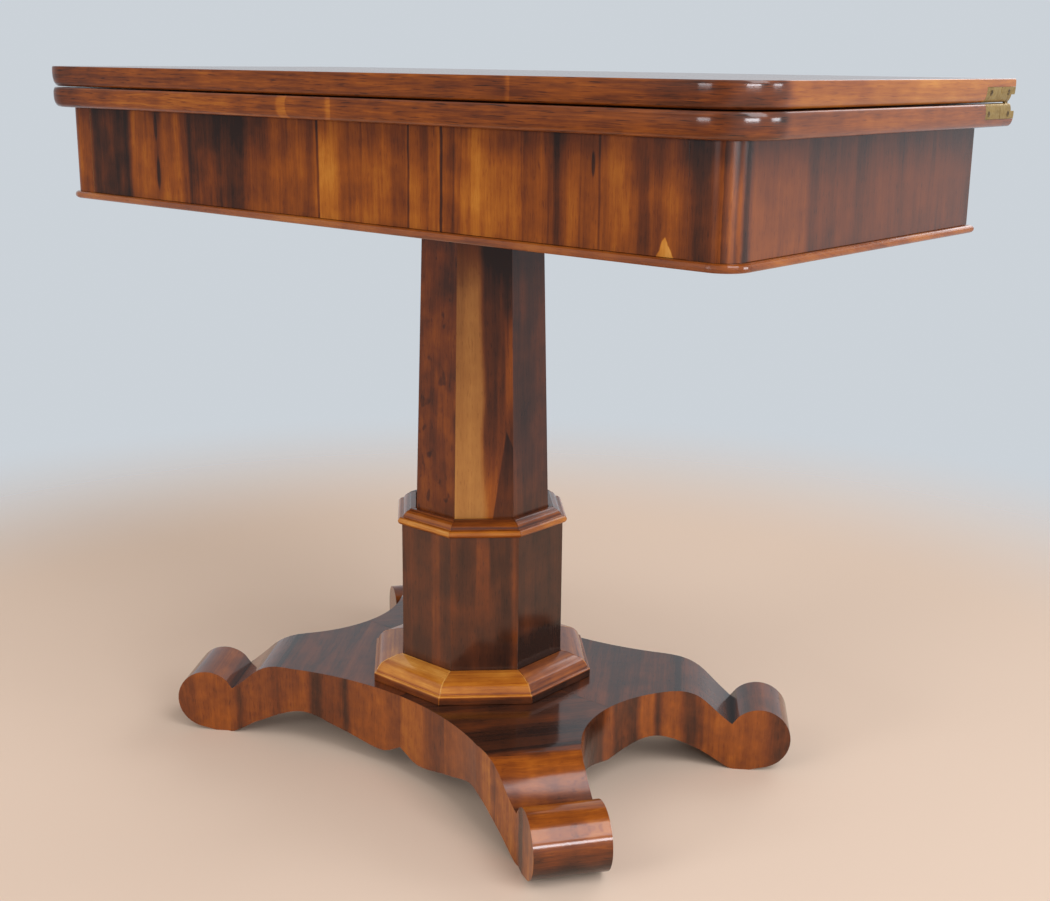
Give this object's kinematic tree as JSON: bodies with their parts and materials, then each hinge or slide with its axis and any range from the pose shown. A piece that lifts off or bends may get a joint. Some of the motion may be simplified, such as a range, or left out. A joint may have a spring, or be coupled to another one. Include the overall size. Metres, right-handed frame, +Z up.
{
  "type": "card table",
  "caption": "Fold-over card table: hinged swivelling top lined with baize, frieze box with a card well, tapered octagonal pillar and a hollow-sided platform on scroll feet.",
  "frame": {"origin": "on the floor, under the axis of the pillar, which is also the middle of the closed top", "axes": "+X along the length of the top, to the right seen from the front; +Y towards the fold at the back; +Z up"},
  "size_m": [0.941, 0.452, 0.74],
  "materials": {
    "rosewood": "gloss",
    "dark_rosewood": "gloss",
    "warm_rosewood": "gloss",
    "deal": "matt",
    "baize": "matt",
    "brass": "satin",
    "iron": "satin"
  },
  "bodies": {
    "frame": {"leg_front_left": "rosewood", "leg_front_right": "rosewood", "leg_back_left": "rosewood", "leg_back_right": "rosewood", "base_moulding_1": "warm_rosewood", "base_moulding_2": "warm_rosewood", "base_moulding_3": "warm_rosewood", "base_moulding_4": "warm_rosewood", "base_moulding_5": "warm_rosewood", "base_moulding_6": "warm_rosewood", "base_moulding_7": "warm_rosewood", "base_moulding_8": "warm_rosewood", "plinth": "dark_rosewood", "collar_moulding_1": "warm_rosewood", "collar_moulding_2": "warm_rosewood", "collar_moulding_3": "warm_rosewood", "collar_moulding_4": "warm_rosewood", "collar_moulding_5": "warm_rosewood", "collar_moulding_6": "warm_rosewood", "collar_moulding_7": "warm_rosewood", "collar_moulding_8": "warm_rosewood", "column": "dark_rosewood", "column_bearer": "deal", "frieze_front": "rosewood", "frieze_back": "rosewood", "frieze_end_left": "rosewood", "frieze_end_right": "rosewood", "corner_block_left": "rosewood", "corner_block_right": "rosewood", "well_bottom": "deal", "well_divider": "rosewood", "pivot_board": "rosewood", "bead_front": "warm_rosewood", "bead_corner_left": "warm_rosewood", "bead_corner_right": "warm_rosewood", "bead_end_left": "warm_rosewood", "bead_end_right": "warm_rosewood", "bead_back": "warm_rosewood"},
    "lower_leaf": {"lower_leaf": "rosewood", "lower_baize": "baize", "lower_hinge_plate_left": "brass", "lower_hinge_plate_right": "brass", "lower_hinge_pin_left": "brass", "lower_hinge_pin_right": "brass", "swivel_bolt": "iron", "swivel_washer": "iron", "swivel_nut": "iron", "stop_peg": "rosewood"},
    "hinge_links": {"hinge_link_left": "brass", "hinge_link_right": "brass"},
    "upper_leaf": {"upper_leaf": "rosewood", "upper_baize": "baize", "upper_hinge_plate_left": "brass", "upper_hinge_plate_right": "brass", "upper_hinge_pin_left": "brass", "upper_hinge_pin_right": "brass"}
  },
  "joints": [
    {"name": "top_swivel", "type": "hinge", "parent": "frame", "child": "lower_leaf", "pos_m": [0.113, 0.113, 0.696], "axis": [0, 0, 1], "range_deg": [0, 90]},
    {"name": "link_fold", "type": "hinge", "parent": "lower_leaf", "child": "hinge_links", "pos_m": [0, 0.2225, 0.7141], "axis": [-1, 0, 0], "range_deg": [0, 90]},
    {"name": "leaf_fold", "type": "hinge", "parent": "hinge_links", "child": "upper_leaf", "pos_m": [0, 0.2225, 0.7223], "axis": [-1, 0, 0], "range_deg": [0, 90]}
  ]
}
